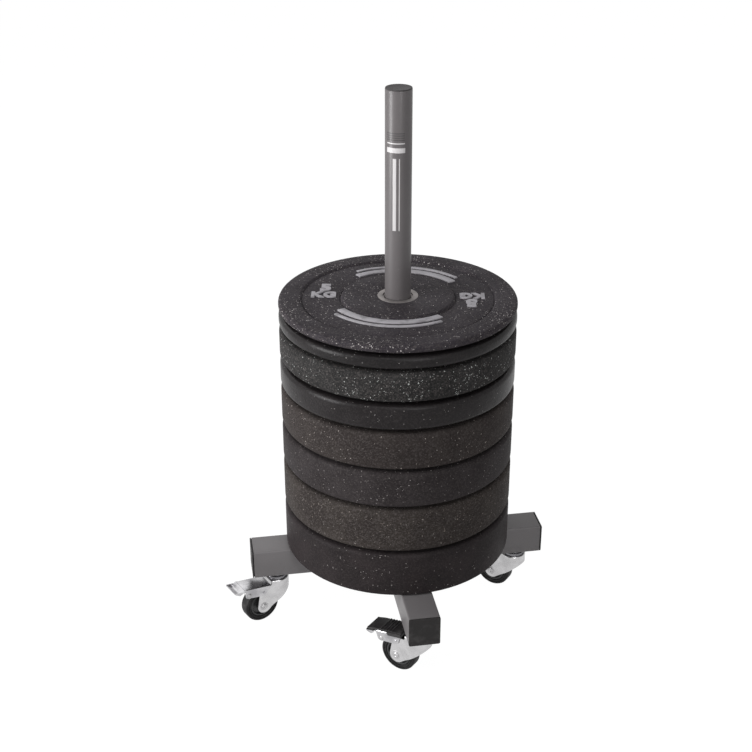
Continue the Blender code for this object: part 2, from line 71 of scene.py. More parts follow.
BORE_RADIUS = 25.4 * MM
FIGURE_RISE = 2.6 * MM
SWIVEL_REACH = 250 * MM
CROSS = Matrix.Translation(POST + Vector((0, 0, ARM_MIDDLE)))
TRAIL = 42 * MM
TYRE_RADIUS = 37.5 * MM
AXLE_Z = TYRE_RADIUS  # the wheel stands on the floor
CROWN_RADIUS = 24.5 * MM
CROWN_TOP = 90.5 * MM
LEG_SIDE = 17.9 * MM
SHEET = 2.2 * MM
PIVOT = Vector((42 * MM, 0, 72 * MM))
PEDAL_SIDE = 20 * MM
PEDAL_TOP = 15 * MM
PAD_SIDE = 20.5 * MM
PAD_SHEET = 2.2 * MM
SHOE = Vector((33.3 * MM, 0, -0.4 * MM))
FACING = -0.16085  # the camera's heading, which the post's stripes also face

# Each arm's direction, its wheel's heading, its pedal's tilt, and whether the pedal has a grip
CASTERS = {"left": (180, 205.0, 9.0, False), "front": (270, 136.5, -10.0, True),
           "right": (0, 138.5, None, False), "back": (90, 160.0, None, False)}


# Modelling by hand

def only(piece=None):
    """Back in object mode, with this piece alone selected, or nothing."""
    if bpy.context.mode != "OBJECT":
        bpy.ops.object.mode_set(mode="OBJECT")
    bpy.ops.object.select_all(action="DESELECT")
    if piece is not None:
        piece.select_set(True)
        bpy.context.view_layer.objects.active = piece
    return piece


def settle(piece, name):
    """Name a piece and put its place into its mesh."""
    only(piece)
    bpy.ops.object.transform_apply(location=True, rotation=True, scale=True)
    piece.name = piece.data.name = name
    return piece


def round_bar(name, radius, low, high, sides, at=(0, 0), along="Z"):
    """A plain bar to shape further, upright at a place, or lying along Y through it."""
    only()
    if along == "Z":
        place = (at[0], at[1], (low + high) / 2)
        turn = (0, 0, 0)
    else:
        place = (at[0], (low + high) / 2, at[1])
        turn = (math.pi / 2, 0, 0)
    bpy.ops.mesh.primitive_cylinder_add(vertices=sides, radius=radius, depth=high - low,
                                        location=place, rotation=turn)
    return settle(bpy.context.object, name)


def block(name, low, high):
    """A block between two corners."""
    only()
    low, high = Vector(low), Vector(high)
    bpy.ops.mesh.primitive_cube_add(size=1, location=(low + high) / 2, scale=high - low)
    return settle(bpy.context.object, name)


def sawn(name, outline, low, high, along="Y"):
    """A slab sawn to an outline: XZ points and a width along Y, or XY points and a height."""
    only()
    bpy.ops.mesh.primitive_circle_add(vertices=len(outline), radius=1, fill_type="NGON")
    piece = bpy.context.object
    for point, (a, b) in zip(piece.data.vertices, outline):
        point.co = (a, low, b) if along == "Y" else (a, b, low)
    rise = (0, high - low, 0) if along == "Y" else (0, 0, high - low)
    bpy.ops.object.mode_set(mode="EDIT")
    bpy.ops.mesh.select_all(action="SELECT")
    push(*rise)
    bpy.ops.mesh.select_all(action="SELECT")
    bpy.ops.mesh.normals_make_consistent(inside=False)
    return settle(piece, name)


def pick(part, test):
    """In edit mode, select the faces, edges or verts that pass the test, and nothing else."""
    piece = bpy.context.object
    if bpy.context.mode != "EDIT_MESH":
        bpy.ops.object.mode_set(mode="EDIT")
    bpy.ops.mesh.select_mode(type={"faces": "FACE", "edges": "EDGE", "verts": "VERT"}[part])
    bpy.ops.mesh.select_all(action="DESELECT")
    mesh = bmesh.from_edit_mesh(piece.data)
    found = 0
    for item in getattr(mesh, part):
        if test(item):
            item.select_set(True)
            found += 1
    mesh.select_flush_mode()
    bmesh.update_edit_mesh(piece.data)
    if not found:
        raise ValueError(f"{piece.name}: nothing to pick among its {part}")


def middle(item):
    """The middle of a face or an edge."""
    if hasattr(item, "calc_center_median"):
        return item.calc_center_median()
    return (item.verts[0].co + item.verts[1].co) / 2


def facing(axis, sign):
    """A test for faces that look along an axis."""
    return lambda face: face.normal[axis] * sign > 0.9


def round_end(face):
    """A test for the large round faces, which have the most corners."""
    return len(face.verts) > 60


def along_x(least):
    """A test for edges that run on along X by more than this."""
    return lambda edge: abs(edge.verts[0].co.x - edge.verts[1].co.x) > least


def rings(axis, around, *radii):
    """A test for edges that run round an axis at one of these radii."""
    others = [i for i in range(3) if i != axis]

    def test(edge):
        ends = []
        for point in edge.verts:
            ends.append(math.hypot(*(point.co[i] - around[i] for i in others)))
        flat = abs(edge.verts[0].co[axis] - edge.verts[1].co[axis]) < NEAR / 4
        return flat and any(abs(ends[0] - r) < NEAR and abs(ends[1] - r) < NEAR for r in radii)
    return test


def inset(by, rise=0.0):
    """Inset the chosen faces, and raise or sink what is inside."""
    bpy.ops.mesh.inset(thickness=by, depth=rise)


def soften(edges, width, steps):
    """Round the edges that pass the test."""
    pick("edges", edges)
    bpy.ops.mesh.bevel(offset=width, segments=steps, profile=0.5, affect="EDGES")


def bore_through():
    """Join the two chosen faces by a hole."""
    bpy.ops.mesh.bridge_edge_loops()


def push(x=0, y=0, z=0):
    """Carry the chosen faces on by this much."""
    bpy.ops.mesh.extrude_region_move(TRANSFORM_OT_translate={"value": (x, y, z)})


def widen(x, y, z=1):
    """Scale what is chosen about its middle."""
    bpy.ops.transform.resize(value=(x, y, z))


def cut(piece, tool, how="DIFFERENCE"):
    """Cut, join or keep the part in common, and use up the tool."""
    only(piece)
    step = piece.modifiers.new("cut", "BOOLEAN")
    step.operation = how
    step.solver = "EXACT"
    step.object = tool
    bpy.ops.object.modifier_apply(modifier=step.name)
    bpy.data.objects.remove(tool)
    return piece


def round_over(piece, width, steps, angle):
    """Round every edge of a piece that is sharper than the angle."""
    only(piece)
    step = piece.modifiers.new("edges", "BEVEL")
    step.width = width
    step.segments = steps
    step.limit_method = "ANGLE"
    step.angle_limit = math.radians(angle)
    bpy.ops.object.modifier_apply(modifier=step.name)
    return piece


def dress(piece, paint, body, replaces=(), slot=None, angle=32):
    """Finish a piece: its paint, its smooth faces, and the body that carries it."""
    only(piece)
    bpy.ops.object.shade_smooth_by_angle(angle=math.radians(angle))
    piece.data.materials.clear()
    piece.data.materials.append(paint)
    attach(piece, body)
    if replaces:
        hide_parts(*replaces)


def another(piece, name, place):
    """A copy with its own mesh, moved to its place."""
    copy = piece.copy()
    copy.data = piece.data.copy()
    bpy.context.collection.objects.link(copy)
    copy.matrix_world = place
    return settle(copy, name)


def turned(degrees, axis="Z"):
    """A turn about an axis."""
    return Matrix.Rotation(math.radians(degrees), 4, axis)


def away(angle, distance):
    """A step over the ground from the origin, by a direction in radians."""
    return Vector((math.cos(angle), math.sin(angle), 0)) * distance


def bow(x, z, radius, start, end, steps):
    """Points of an arc between two angles in degrees."""
    angles = [math.radians(start + (end - start) * i / steps) for i in range(steps + 1)]
    return [(x + radius * math.cos(a), z + radius * math.sin(a)) for a in angles]


# Paint and surface recipes

def tint(code):
    """A colour from its screen code, as light."""
    parts = [int(code[i:i + 2], 16) / 255 for i in (1, 3, 5)]
    return tuple(p / 12.92 if p <= 0.04045 else ((p + 0.055) / 1.055) ** 2.4 for p in parts)


class Wire:
    """A value in a recipe that can be used in a formula."""

    def __init__(self, recipe, socket):
        self.recipe = recipe
        self.socket = socket

    def _sum(self, operation, *values):
        return self.recipe.add("Math", {"operation": operation}, values)

    def most(self, other):
        return self._sum("MAXIMUM", other, self)

    def __add__(self, other):
        return self._sum("ADD", self, other)

    def __radd__(self, other):
        return self._sum("ADD", other, self)

    def __sub__(self, other):
        return self._sum("SUBTRACT", self, other)

    def __rsub__(self, other):
        return self._sum("SUBTRACT", other, self)

    def __mul__(self, other):
        return self._sum("MULTIPLY", self, other)

    def __rmul__(self, other):
        return self._sum("MULTIPLY", other, self)

    def __gt__(self, other):
        return self._sum("GREATER_THAN", self, other)

    def __lt__(self, other):
        return self._sum("LESS_THAN", self, other)

    def __pow__(self, other):
        return self._sum("POWER", self, other)

    def __mod__(self, other):
        return self._sum("FLOORED_MODULO", self, other)


class Recipe:
    """A surface finish, built up from nodes on its one Principled shader."""

    def __init__(self, name, color, roughness, metallic=0.0, **settings):
        self.material = bpy.data.materials.new(name)
        self.material.use_nodes = True
        self.tree = self.material.node_tree
        self.shader = self.tree.nodes["Principled BSDF"]
        self.shader.inputs["Base Color"].default_value = (*tint(color), 1)
        self.shader.inputs["Roughness"].default_value = roughness
        self.shader.inputs["Metallic"].default_value = metallic
        for socket, value in settings.items():
            self.shader.inputs[socket.replace("_", " ")].default_value = value
        self.at = self.add("TexCoord", out="Object")

    def add(self, kind, settings=None, values=(), out=0):
        """A node of this kind, its settings first and then its sockets, by place or name."""
        node = self.tree.nodes.new("ShaderNode" + kind)
        for key, value in (settings or {}).items():
            setattr(node, key, value)
        pairs = values.items() if isinstance(values, dict) else enumerate(values)
        for key, value in pairs:
            self._plug(node.inputs[key], value)
        return Wire(self, node.outputs[out])

    def _plug(self, socket, value):
        if isinstance(value, Wire):
            self.tree.links.new(value.socket, socket)
        elif isinstance(value, (tuple, list)) and socket.type == "RGBA" and len(value) == 3:
            socket.default_value = (*value, 1)
        else:
            socket.default_value = value

    def noise(self, scale, detail, at=None, roughness=0.5):
        """Soft clouds, whose detail is in octaves."""
        return self.add("TexNoise", None, {"Vector": at or self.at, "Scale": scale,
                                           "Detail": detail, "Roughness": roughness})

    def cells(self, scale, at, out="Distance"):
        """Loose cells: the distance to the nearest centre, or a colour of each cell's own."""
        return self.add("TexVoronoi", None, {"Vector": at, "Scale": scale}, out)

    def moved(self, place=(0, 0, 0), scale=(1, 1, 1)):
        """The place on the object, shifted and stretched."""
        return self.add("Mapping", None, {"Vector": self.at, "Location": place, "Scale": scale})

    def apart(self, vector):
        """A vector's X, Y and Z."""
        x = self.add("SeparateXYZ", None, [vector])
        node = x.socket.node
        return [Wire(self, node.outputs[i]) for i in range(3)]

    def smooth(self, value, low, high):
        """0 below low and 1 above high."""
        return self.add("MapRange", {"interpolation_type": "SMOOTHSTEP"},
                        {"Value": value, "From Min": low, "From Max": high}, "Result")

    def between(self, value, low, high, edge):
        """1 between low and high, with soft edges."""
        return (self.smooth(value, low - edge, low + edge)
                * (1 - self.smooth(value, high - edge, high + edge)))

    def mix(self, amount, first, second):
        """One colour over another by amount."""
        node = self.tree.nodes.new("ShaderNodeMix")
        node.data_type = "RGBA"
        for index, value in ((0, amount), (6, first), (7, second)):
            self._plug(node.inputs[index], value)
        return Wire(self, node.outputs[2])

    def color(self, value):
        self._plug(self.shader.inputs["Base Color"], value)

    def roughness(self, value):
        self._plug(self.shader.inputs["Roughness"], value)

    def bump(self, *layers):
        """Relief from (height, distance in metres) layers, one over another."""
        normal = None
        for height, distance in layers:
            values = {"Height": height, "Distance": distance, "Strength": 1.0}
            if normal is not None:
                values["Normal"] = normal
            normal = self.add("Bump", None, values, "Normal")
        self._plug(self.shader.inputs["Normal"], normal)


def crumb_rubber(name, dark, light, speck, amount, grain, polish, shine, seed):
    """Pressed rubber crumb: a ground of many close tones, pale crumbs and a grainy skin."""
    recipe = Recipe(name, dark, 0.7, Specular_IOR_Level=shine)
    at = recipe.moved((seed * 0.37, seed * 0.61, seed * 0.23))  # no two plates alike
    mottle = recipe.noise(16, 3, at)
    fine = recipe.noise(420, 2, at)
    ground = recipe.mix(recipe.smooth(mottle, 0.36, 0.66), tint(dark), tint(light))
    tones = recipe.apart(recipe.cells(480, at, "Color"))
    ground = recipe.mix(tones[0] ** 2.5 * grain, ground, tint("#6d6766"))
    ground = recipe.mix(tones[1] ** 2 * (grain * 0.9), ground, tint("#191717"))
    ragged = recipe.add("TexNoise", None, {"Vector": at, "Scale": 260.0, "Detail": 1.0}, "Color")
    jitter = recipe.add("VectorMath", {"operation": "MULTIPLY_ADD"},
                        [ragged, (3.5 * MM, 3.5 * MM, 3.5 * MM), at])
    x, y = recipe.apart(recipe.moved(tuple(-POST)))[:2]
    outer = recipe.smooth((x ** 2 + y ** 2) ** 0.5, 165 * MM, 190 * MM)
    crowd = recipe.smooth(recipe.noise(7, 2, at), 0.35, 0.68) * (0.35 + 0.65 * outer)
    crumbs = None
    for scale, size, share in ((130, 0.15, 0.95), (230, 0.24, 0.93), (420, 0.34, 0.90)):
        distance = recipe.cells(scale, jitter)
        luck = recipe.add("SeparateColor", None, [recipe.cells(scale, jitter, "Color")])
        chosen = luck > (1 - (1 - share) * amount * (0.3 + 1.35 * crowd))
        crumb = chosen * (distance < size)
        crumbs = crumb if crumbs is None else crumb.most(crumbs)
    shade = recipe.noise(95, 1, at)
    pale = recipe.mix(recipe.smooth(shade, 0.42, 0.62), tint(speck), tint("#86827f"))
    recipe.color(recipe.mix(crumbs, ground, pale))
    recipe.roughness(polish + 0.16 * fine - 0.08 * mottle)
    recipe.bump((recipe.cells(300, at), 0.22 * MM), (fine, 0.12 * MM),
                (recipe.noise(60, 3, at), 0.35 * MM))
    return recipe.material


# The post's plain print: a patch's bottom, top and softness, then its left, right and softness
PALE_BAR = ((973.5, 982.5, 0.4), (-20.5, 11.5, 0.4))
PALE_LINE = ((989.5, 991.5, 0.3), (-20.0, 11.0, 0.4))
WIDE_STRIPE = ((828.0, 963.0, 0.6), (-10.5, -4.5, 0.5))
THIN_STRIPE = ((828.0, 963.0, 0.6), (0.5, 2.2, 0.4))
DARK_ROWS = ((995.5, 1011.5, 0.3), (-20.5, 10.5, 0.4))
ROWS_PER_METRE = 250


def post_print(recipe):
    """Where the post's front has its pale print, and where its fine dark rows."""
    x, y, z = recipe.apart(recipe.moved(tuple(-POST)))
    across = x * math.cos(FACING) + y * math.sin(FACING)
    ahead = y * math.cos(FACING) - x * math.sin(FACING) < 0

    def patch(heights, sides):
        return (recipe.between(z, *(h * MM for h in heights))
                * recipe.between(across, *(side * MM for side in sides)))

    pale = patch(*PALE_BAR) + patch(*PALE_LINE) + patch(*WIDE_STRIPE) + patch(*THIN_STRIPE)
    rows = patch(*DARK_ROWS) * ((z * ROWS_PER_METRE + 0.1) % 1 < 0.55)
    return pale * ahead, rows * ahead


def satin_paint(name, color, worn, coat=0.06, printed=False):
    """Sprayed satin grey paint, with orange peel and dust, and with the post's print or without."""
    recipe = Recipe(name, color, 0.4, Specular_IOR_Level=0.35, Coat_Weight=coat,
                    Coat_Roughness=0.2)
    cloud = recipe.noise(9, 3)
    peel = recipe.noise(520, 1)
    base = recipe.mix(recipe.smooth(cloud, 0.3, 0.7), tint(color), tint(worn))
    dust = recipe.smooth(recipe.noise(130, 4, roughness=0.7), 0.60, 0.78)
    base = recipe.mix(dust * 0.18, base, tint("#9c9898"))
    if printed:
        pale, rows = post_print(recipe)
        base = recipe.mix(rows, base, tint("#4c494a"))
        base = recipe.mix(pale, base, tint("#d4d1d2"))
    recipe.color(base)
    recipe.roughness(0.36 + 0.14 * cloud + 0.1 * dust)
    recipe.bump((peel, 0.03 * MM), (recipe.noise(140, 2), 0.05 * MM))
    return recipe.material


def zinc(name, color="#d6d5d6", rough=0.15, streak=(1, 1, 12), cloud_and_painted_shade="#c6c5c6"):
    """Bright zinc plate, faintly clouded, with the rolling marks of the sheet."""
    recipe = Recipe(name, color, rough, 1.0)
    cloud = recipe.noise(45, 3)
    lines = recipe.noise(160, 3, recipe.moved(scale=streak))
    # Faint clouding between two tones. On the pedal copy the darker tone is a painted reflection of
    # the arm's dark underside. On the race copy it is painted shade from under the arm.
    recipe.color(recipe.mix(recipe.smooth(cloud, 0.35, 0.7), tint(color), tint(cloud_and_painted_shade)))
    recipe.roughness(rough + 0.14 * cloud + 0.08 * lines)
    recipe.bump((lines, 0.015 * MM), (recipe.noise(30, 2), 0.03 * MM))
    return recipe.material


def moulded(name, color, rough, grain=900, shine=0.4):
    """Moulded plastic or rubber with a fine grain and a little bloom."""
    recipe = Recipe(name, color, rough, Specular_IOR_Level=shine)
    bloom = recipe.noise(55, 3)
    recipe.color(recipe.mix(recipe.smooth(bloom, 0.45, 0.75) * 0.5, tint(color),
                            tint("#4a4848")))
    recipe.roughness(rough + 0.18 * bloom - 0.05)
    recipe.bump((recipe.noise(grain, 2), 0.06 * MM), (recipe.noise(90, 2), 0.02 * MM))
    return recipe.material


PAINT = satin_paint("frame_paint", "#757273", "#6e6b6c")
POST_PAINT = satin_paint("post_paint", "#676364", "#615d5e", 0.24, printed=True)
WELD = satin_paint("weld_paint", "#5f5d5d", "#555253")
END_PLASTIC = moulded("end_plug_plastic", "#242222", 0.5, 900, 0.25)
CAP_PLASTIC = moulded("post_cap_plastic", "#393637", 0.6)
ZINC = zinc("bright_zinc")
RING_STEEL = zinc("plate_ring_steel", "#95908f", 0.5, (1, 1, 1), "#84807f")
BOLT_STEEL = zinc("bolt_steel", "#a9a8a6", 0.32, (1, 1, 1), "#9a9997")
PIN_STEEL = zinc("pin_steel", "#c6c5c6", 0.3, (1, 1, 1), "#b2b1b2")
# Darker and more mottled than the bright zinc: these tones paint the dark reflection of the arm's
# underside on the pedal's top.
PEDAL_STEEL_PAINTED_REFLECTION = zinc("pedal_steel_painted_reflection", "#cccbcd", 0.12, (1, 1, 12), "#acabae")
# A darker copy of the zinc: the race's dark tone is painted shade from under the arm and a painted
# reflection of the arm's dark underside.
RACE_STEEL_PAINTED_SHADE = zinc("race_steel_painted_shade", "#8e8d90", 0.12, (1, 1, 1), "#7b7a7e")
TREAD = moulded("tread_rubber", "#181718", 0.5, 700, 0.25)
NYLON = moulded("wheel_nylon", "#353536", 0.25)
GRIP = moulded("grip_plastic", "#242223", 0.42)
FIGURES = moulded("grey_figure_paint", "#aaa7ac", 0.55, 500)
# From the bottom plate to the top one: ground, mottle, crumbs, how many, grain, polish, shine
RUBBERS = [crumb_rubber(f"plate_{k}_rubber", *values, seed=k) for k, values in enumerate([
    ("#272324", "#2e292a", "#8d8887", 0.18, 0.12, 0.5, 0.06),
    ("#312c2a", "#3a3532", "#8f857e", 0.42, 0.4, 0.6, 0.06),
    ("#2b2728", "#332f30", "#938e8e", 0.28, 0.22, 0.56, 0.07),
    ("#302b2a", "#393432", "#b0a7a1", 0.34, 0.32, 0.58, 0.06),
    ("#1c191a", "#221f20", "#827f7f", 0.15, 0.1, 0.28, 0.15),
    ("#272727", "#303030", "#c3c6c4", 0.95, 0.4, 0.6, 0.06),
    ("#1a1819", "#201d1e", "#858282", 0.15, 0.08, 0.28, 0.17),
    ("#2f2b30", "#39353a", "#d2cccb", 1.4, 0.42, 0.6, 0.1),
], 1)]


# The plates

def make_plate(number, low, pitch):
    """One plate: rounded rim, recessed web and raised middle on both faces, and its ring."""
    high = low + pitch - GAP
    lowest = number == 1
    under = -3.6 * MM if lowest else 4.6 * MM  # the lowest rim hangs round the flange
    body = round_bar(f"plate_{number}_crumb", PLATE_RADIUS, low + under, high - RIM_DROP,
                     160, POST)
    for sign, drop in ((1, RIM_DROP), (-1, under)):
        pick("faces", facing(Z, sign))
        inset(RIM_WIDTH)
        inset(RIM_SLOPE, -WEB_BELOW_RIM - GROOVE_DEPTH)
        inset(GROOVE_WIDTH, GROOVE_DEPTH)
        inset(WEB_WIDTH)
        inset(GROOVE_WIDTH, -GROOVE_DEPTH)
        inset(MIDDLE_SLOPE, WEB_BELOW_RIM + drop + GROOVE_DEPTH)
        inset(MIDDLE_RADIUS - HUB_RADIUS - HUB_CLEARANCE)
    pick("faces", round_end)
    bore_through()
    edge = min(9 * MM, pitch * 0.27)
    rim, half = rings(Z, POST, PLATE_RADIUS), (low + high) / 2
    soften(lambda side: rim(side) and side.verts[0].co.z > half, edge, 5)
    soften(lambda side: rim(side) and side.verts[0].co.z < half, 2.5 * MM if lowest else edge, 5)
    web_edge = PLATE_RADIUS - RIM_WIDTH
    grooves = [web_edge - RIM_SLOPE]
    for width in (GROOVE_WIDTH, WEB_WIDTH, GROOVE_WIDTH):
        grooves.append(grooves[-1] - width)
    soften(rings(Z, POST, web_edge, MIDDLE_RADIUS), 1.6 * MM, 3)
    soften(rings(Z, POST, *grooves), 0.5 * MM, 2)
    soften(rings(Z, POST, HUB_RADIUS + HUB_CLEARANCE), 0.6 * MM, 2)
    dress(body, RUBBERS[number - 1], f"plate_{number}", [f"plate_{number}_body"],
          "crumb_rubber")

    ring = round_bar(f"plate_{number}_ring", HUB_RADIUS, low, high, 96, POST)
    pick("faces", round_end)
    collar = 3 * MM  # the bore's collar is as wide as it lies deep
    inset(HUB_RADIUS - BORE_RADIUS - collar)
    inset(0.4 * MM, -collar)
    inset(2.6 * MM)
    bore_through()
    soften(rings(Z, POST, BORE_RADIUS + collar, BORE_RADIUS), 0.4 * MM, 2)
    soften(rings(Z, POST, HUB_RADIUS), 0.5 * MM, 2)
    dress(ring, RING_STEEL, f"plate_{number}", [f"plate_{number}_hub"], "zinc_plate")


def make_figures(top):
    """The plate's weight in raised grey figures left and right, and plain curved bars between."""
    web = top - RIM_DROP - WEB_BELOW_RIM - 0.2 * MM
    middle_of_print = POST + Vector((1.3 * MM, 7.9 * MM, 0))
    for side, turn in (("left", math.radians(162)), ("right", math.radians(-18))):
        centre = middle_of_print + away(turn, 141) * MM
        upright = turn - math.radians(180 - 7)
        for words, width, height, shift in (("5", 21 * MM, 34 * MM, (2 * MM, 17 * MM)),
                                            ("KG", 47 * MM, 26 * MM, (0, -17 * MM))):
            only()
            bpy.ops.object.text_add()
            sign = bpy.context.object
            sign.data.body = words
            sign.data.offset = 0.05
            sign.data.space_character = 1.12
            sign.data.extrude = 1
            bpy.ops.object.convert(target="MESH")
            sign = bpy.context.object
            bpy.ops.object.origin_set(type="ORIGIN_GEOMETRY", center="BOUNDS")
            sign.location = (0, 0, 0)
            size = sign.dimensions
            sign.scale = (width / size.x, height / size.y, FIGURE_RISE / size.z)
            settle(sign, "figure")
            sign.location = (*shift, 0)
            settle(sign, "figure")
            sign.matrix_world = (Matrix.Translation(centre + Vector((0, 0, web + FIGURE_RISE / 2)))
                                 @ Matrix.Rotation(upright, 4, "Z"))
            settle(sign, f"plate_8_figure_{side}_{words}")
            bpy.ops.object.mode_set(mode="EDIT")
            bpy.ops.mesh.select_all(action="SELECT")
            bpy.ops.mesh.remove_doubles(threshold=0.005 * MM)
            dress(sign, FIGURES, "plate_8")
    for side, turn in (("near", 250.5), ("far", 70.5)):
        for place, low, high, half in (("inner", 117, 132, 48), ("outer", 140, 147, 43)):
            name = f"plate_8_bar_{side}_{place}"
            ends = bow(0, 0, low * MM, -half, half, 28) + bow(0, 0, high * MM, half, -half, 28)
            bar = sawn(name, ends, web, web + FIGURE_RISE, "Z")
            round_over(bar, 0.5 * MM, 2, 60)
            bar.matrix_world = Matrix.Translation(middle_of_print) @ turned(turn)
            dress(settle(bar, name), FIGURES, "plate_8")


level = FLANGE_TOP + GAP
for index, pitch in enumerate(PLATE_PITCHES, 1):
    make_plate(index, level, pitch)
    level += pitch
STACK_TOP = level - GAP
make_figures(STACK_TOP)


# The post, its flange and bolts

def make_post():
    """The tube, with a turned edge at its top, and its pressed-in cap."""
    top = POST_TOP - 1.9 * MM
    tube = round_bar("post_pipe", POST_RADIUS, FLANGE_TOP + GAP, top, 96, POST)
    pick("faces", round_end)
    inset(3 * MM)
    pick("faces", round_end)
    bore_through()
    soften(rings(Z, POST, POST_RADIUS), 0.8 * MM, 3)
    dress(tube, POST_PAINT, "cart", ["post_tube"], "grey_paint")

    radius = POST_RADIUS - 0.4 * MM
    cap = round_bar("post_top_cap", radius, POST_TOP - 1.6 * MM, POST_TOP, 96, POST)
    pick("faces", facing(Z, 1))
    inset(2.2 * MM)
    inset(1.2 * MM, -0.35 * MM)
    pick("faces", facing(Z, -1))
    inset(3.6 * MM)
    push(z=-18 * MM)
    widen(0.95, 0.95)
    soften(lambda edge: rings(Z, POST, radius)(edge) and middle(edge).z > POST_TOP - MM,
           0.8 * MM, 3)
    dress(cap, CAP_PLASTIC, "cart", ["post_cap"], "black_plastic")


def make_flange():
    """The bolted foot of the post, with four countersunk socket screws."""
    radius = 75 * MM
    flange = round_bar("post_foot", radius, ARM_TOP + GAP, FLANGE_TOP, 96, POST)
    soften(rings(Z, POST, radius), 0.9 * MM, 2)
    for side, (direction, *_) in CASTERS.items():
        at = POST + away(math.radians(direction), BOLT_REACH)
        seat = round_bar("seat", 8 * MM, ARM_TOP - MM, FLANGE_TOP + MM, 48, at)
        pick("verts", lambda point: point.co.z < ARM_TOP)
        widen(0.56, 0.56)
        cut(flange, seat)
        head = FLANGE_TOP - 0.4 * MM
        screw = round_bar(f"foot_screw_{side}", 7.6 * MM, head - 4 * MM, head, 48, at)
        pick("faces", facing(Z, -1))
        widen(0.53, 0.53)
        push(z=-18 * MM)
        socket = round_bar("socket", 2.9 * MM, head - 2.4 * MM, head + MM, 6, at)
        cut(screw, socket)
        round_over(screw, 0.2 * MM, 1, 40)
        dress(screw, BOLT_STEEL, "cart", [f"flange_bolt_{side}"], "zinc_plate")
    dress(flange, PAINT, "cart", ["post_flange"], "grey_paint")


make_post()
make_flange()


# The cross of square tubes and its end plugs

def square_tube(name, start, end, bolts, stems):
    """A tube along X between two ends: round long edges, a hollow inside and its holes."""
    half = HALF_TUBE
    tube = block(name, (start, -half, -half), (end, half, half))
    soften(along_x(MM), TUBE_CORNER, 5)
    pick("faces", lambda face: abs(face.normal.x) > 0.9)
    inset(2 * MM)
    pick("faces", lambda face: abs(face.normal.x) > 0.9 and face.calc_area() > 1e-3)
    bore_through()
    for x in bolts:
        cut(tube, round_bar("hole", 4.4 * MM, half - 4 * MM, half + MM, 24, (x, 0)))
    for x in stems:
        cut(tube, round_bar("hole", 6.8 * MM, -half - MM, -half + 4 * MM, 32, (x, 0)))
    return tube


def weld(name, length):
    """A rippled weld bead along X, of overlapping beads, on the corner of two faces."""
    only()
    radius, spacing = 2.6 * MM, 2.2 * MM
    count = int(length / spacing)
    bpy.ops.mesh.primitive_uv_sphere_add(segments=10, ring_count=6, radius=1)
    bead = bpy.context.object
    bead.scale = (radius, radius, radius)
    settle(bead, name)
    row = bead.modifiers.new("row", "ARRAY")
    row.count = count
    row.use_relative_offset = False
    row.use_constant_offset = True
    row.constant_offset_displace = (length / count, 0, 0)
    bpy.ops.object.modifier_apply(modifier=row.name)
    bead.location = (-length / 2 + length / count / 2, 0, 0)
    return settle(bead, name)


def make_cross():
    """The long beam, the two short arms and the welds that join them."""
    length = ARM_REACH - 3.8 * MM
    beam = square_tube("beam", -length, length, (-BOLT_REACH, BOLT_REACH),
                       (-SWIVEL_REACH, SWIVEL_REACH))
    beam.matrix_world = CROSS
    dress(settle(beam, "long_beam"), PAINT, "cart", ["cross_beam"], "grey_paint")
    arm = square_tube("arm", HALF_TUBE + GAP, length, (BOLT_REACH,), (SWIVEL_REACH,))
    for side in ("front", "back"):
        copy = another(arm, f"{side}_short_arm", CROSS @ turned(CASTERS[side][0]))
        dress(copy, PAINT, "cart", [f"{side}_arm"], "grey_paint")
    bpy.data.objects.remove(arm)
    bead = weld("bead", TUBE - 8 * MM)
    for side, sign in (("front", -1), ("back", 1)):
        for place in (1, -1):
            corner = POST + Vector((place * HALF_TUBE, sign * HALF_TUBE, ARM_MIDDLE))
            copy = another(bead, f"{side}_weld_{'right' if place > 0 else 'left'}",
                           Matrix.Translation(corner) @ turned(90, "Y"))
            dress(copy, WELD, "cart", angle=50)
    bpy.data.objects.remove(bead)


def make_end_plugs():
    """A pressed-in square plug for each arm, softly domed, on a hollow hidden spigot."""
    half = HALF_TUBE
    plug = block("plug", (-2.5 * MM, -half, -half), (-1.1 * MM, half, half))
    soften(along_x(MM), TUBE_CORNER, 5)
    pick("faces", lambda face: face.normal.x > 0.99)
    height, width = 0, half
    for up, wide in bow(0, half - 1.1 * MM, 1.1 * MM, 90, 0, 5)[1:]:
        push(up - height)
        widen(1, wide / width, wide / width)
        height, width = up, wide
    inside = 27.7 * MM
    spigot = block("spigot", (-18.5 * MM, -inside, -inside), (-2 * MM, inside, inside))
    pick("faces", facing(X, -1))
    inset(2 * MM)
    push(13.5 * MM)
    cut(plug, spigot, "UNION")
    for side, (direction, *_) in CASTERS.items():
        copy = another(plug, f"{side}_arm_plug",
                       CROSS @ turned(direction) @ Matrix.Translation((ARM_REACH, 0, 0)))
        dress(copy, END_PLASTIC, "cart", [f"{side}_end_cap"], "black_plastic")
    bpy.data.objects.remove(plug)


make_cross()
make_end_plugs()


# The casters, modelled with the swivel axis at the origin and the wheel trailing along +X

def fork_form(shrink, low, reach):
    """The fork as a solid: a round crown that runs back into two flat legs."""
    radius = CROWN_RADIUS - shrink
    side = LEG_SIDE - shrink
    bend = math.radians(70)
    crease = radius * math.cos(bend) + (radius * math.sin(bend) - side) * math.tan(bend)
    plan = bow(0, 0, radius, 70, 290, 56) + [(crease, -side), (reach, -side), (reach, side),
                                             (crease, side)]
    form = sawn("form", plan, low, CROWN_TOP - shrink, "Z")
    edge = 2.6 * MM - shrink
    soften(lambda e: all(abs(v.co.x - crease) < 0.05 * MM for v in e.verts)
           and abs(e.verts[0].co.z - e.verts[1].co.z) > 9 * MM, 4 * MM - shrink, 3)
    soften(lambda e: all(v.co.z > CROWN_TOP - shrink - 0.01 * MM for v in e.verts)
           and middle(e).x < reach - MM, edge, 4)
    return only(form)


